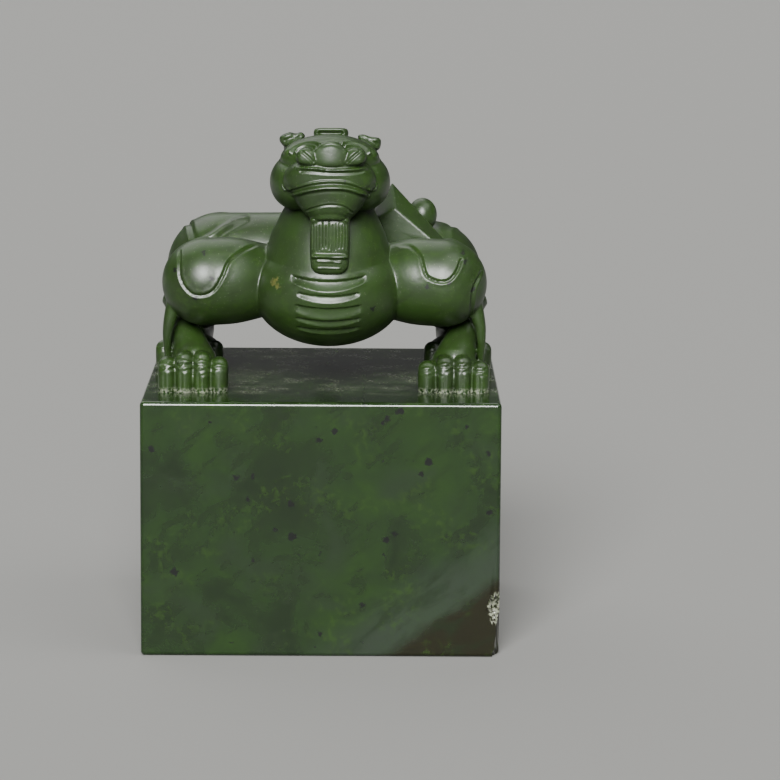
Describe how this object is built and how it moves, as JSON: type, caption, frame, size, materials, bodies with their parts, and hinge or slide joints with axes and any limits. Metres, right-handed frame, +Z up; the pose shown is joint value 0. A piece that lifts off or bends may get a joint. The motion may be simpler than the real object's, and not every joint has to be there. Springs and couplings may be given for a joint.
{
  "type": "jade seal stamp",
  "caption": "Square jade seal block with a crouching horned beast carved on top as its grip, and a gap for a cord under the beast's belly.",
  "frame": {"origin": "middle of the seal face, the underside that the block stands on", "axes": "+Z up from the seal face to the beast's head, -Y the way the beast looks, +X to the right of someone who faces the beast"},
  "size_m": [0.0506, 0.0506, 0.0732],
  "materials": {
    "nephrite": "polished dark green nephrite with black specks"
  },
  "bodies": {
    "root": {"jade_seal": "nephrite"}
  },
  "joints": []
}
